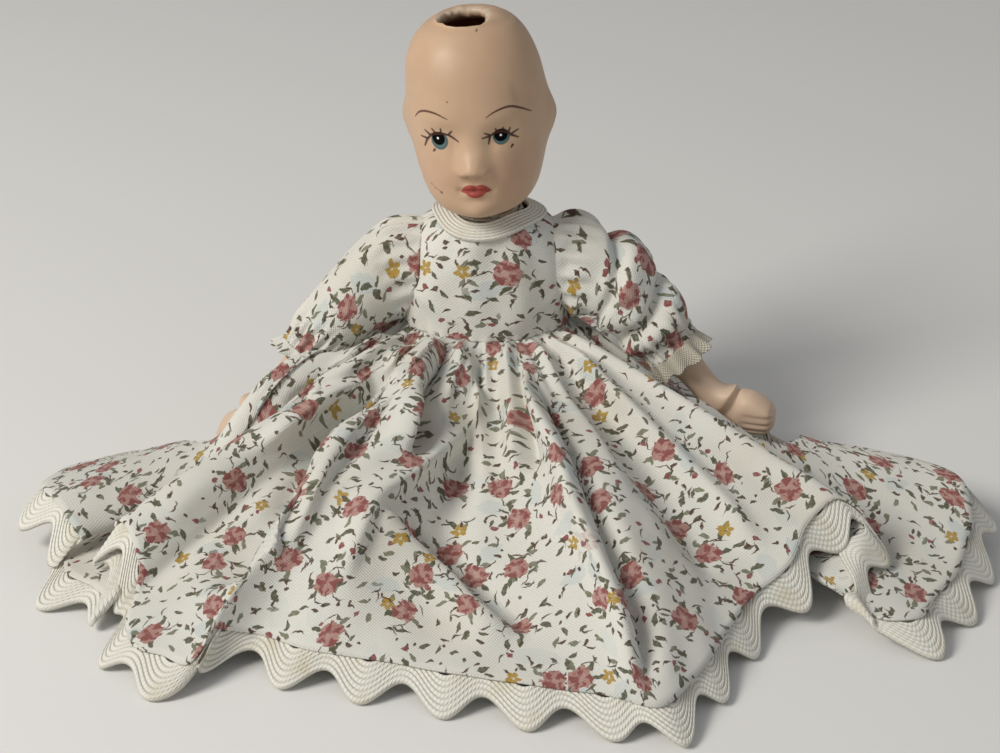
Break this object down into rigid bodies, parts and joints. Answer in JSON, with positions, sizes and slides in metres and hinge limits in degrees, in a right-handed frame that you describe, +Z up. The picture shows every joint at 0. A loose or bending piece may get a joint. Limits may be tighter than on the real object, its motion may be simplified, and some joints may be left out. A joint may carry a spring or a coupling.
{
  "type": "bisque doll",
  "caption": "Small seated bisque doll with an open crown, in a floral cotton dress with puff sleeves and rick-rack trim; head, arms and legs turn at a stuffed cloth body.",
  "frame": {"origin": "middle of the flat seat under the cloth body, at floor level", "axes": "+Z up, the doll faces -Y, +X is the doll's own left side"},
  "size_m": [0.1819, 0.1592, 0.0885],
  "materials": {
    "bisque": "unglazed, flesh tinted and painted",
    "print": "printed cotton",
    "braid": "woven braid with a slight sheen",
    "muslin": "plain cotton",
    "stuffing": "loose fibre",
    "thread": "cotton thread and elastic",
    "snap": "nickel-plated"
  },
  "bodies": {
    "torso": {"torso_cover": "muslin", "torso_stuffing": "stuffing", "neck_tie": "thread", "bodice_front": "print", "bodice_back_left": "print", "bodice_back_right": "print", "snap_stud_waist": "snap", "snap_socket_waist": "snap", "snap_stud_nape": "snap", "snap_socket_nape": "snap", "skirt": "print", "hem_rickrack": "braid", "collar_rickrack": "braid"},
    "head": {"head": "bisque"},
    "arm_left": {"upper_arm_cover_left": "muslin", "upper_arm_stuffing_left": "stuffing", "forearm_left": "bisque", "forearm_tie_left": "thread", "sleeve_left": "print", "sleeve_frill_left": "braid", "sleeve_elastic_left": "thread"},
    "arm_right": {"upper_arm_cover_right": "muslin", "upper_arm_stuffing_right": "stuffing", "forearm_right": "bisque", "forearm_tie_right": "thread", "sleeve_right": "print", "sleeve_frill_right": "braid", "sleeve_elastic_right": "thread"},
    "leg_left": {"upper_leg_cover_left": "muslin", "upper_leg_stuffing_left": "stuffing", "lower_leg_left": "bisque", "leg_tie_left": "thread"},
    "leg_right": {"upper_leg_cover_right": "muslin", "upper_leg_stuffing_right": "stuffing", "lower_leg_right": "bisque", "leg_tie_right": "thread"}
  },
  "joints": [
    {"name": "neck_turn", "type": "hinge", "parent": "torso", "child": "head", "pos_m": [0, 0, 0.0456], "axis": [-0.0693, 0.0079, 0.9976], "range_deg": [-70, 70]},
    {"name": "arm_lift_left", "type": "hinge", "parent": "torso", "child": "arm_left", "pos_m": [0.0174, 0, 0.0436], "axis": [0, -1, 0], "range_deg": [0, 75]},
    {"name": "arm_lift_right", "type": "hinge", "parent": "torso", "child": "arm_right", "pos_m": [-0.0174, 0, 0.0436], "axis": [0, 1, 0], "range_deg": [0, 75]},
    {"name": "leg_swing_left", "type": "hinge", "parent": "torso", "child": "leg_left", "pos_m": [0.0085, -0.01497, 0.0064], "axis": [0.9272, 0.3746, 0], "range_deg": [0, 90]},
    {"name": "leg_swing_right", "type": "hinge", "parent": "torso", "child": "leg_right", "pos_m": [-0.0085, -0.01497, 0.0064], "axis": [0.9272, -0.3746, 0], "range_deg": [0, 90]}
  ]
}
